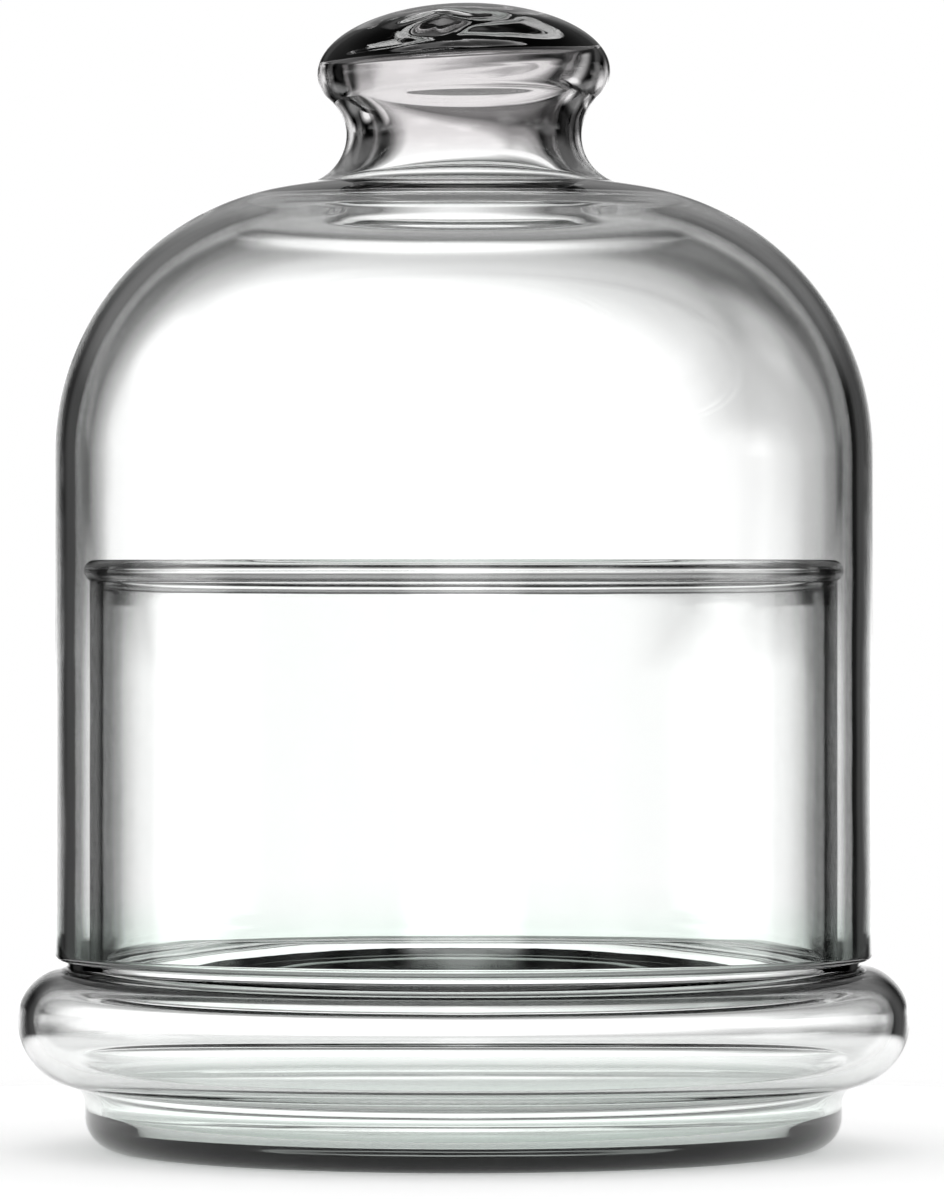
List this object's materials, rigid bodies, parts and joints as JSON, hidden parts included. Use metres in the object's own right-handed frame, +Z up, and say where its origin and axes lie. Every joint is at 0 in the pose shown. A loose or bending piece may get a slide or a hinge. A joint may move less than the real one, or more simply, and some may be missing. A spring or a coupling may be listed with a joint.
{
  "type": "storage jar",
  "caption": "Clear glass storage jar with a rolled bulge over its foot and a loose bell-shaped dome lid. The dome has a hollow mushroom knob, stands on the bulge's seat and lifts off.",
  "frame": {"origin": "middle of the foot's bearing ring, on the table", "axes": "+Z up, along the axis both pieces are round about; the picture looks along +Y, and +X is to its right"},
  "size_m": [0.1068, 0.1068, 0.1372],
  "materials": {
    "jar_glass": "clear, fire-polished",
    "dome_glass": "clear, fire-polished"
  },
  "bodies": {
    "jar": {"jar": "jar_glass"},
    "dome": {"dome": "dome_glass"}
  },
  "joints": [
    {"name": "dome_lift", "type": "slide", "parent": "jar", "child": "dome", "axis": [0, 0, 1], "range_m": [0, 0.06]}
  ]
}
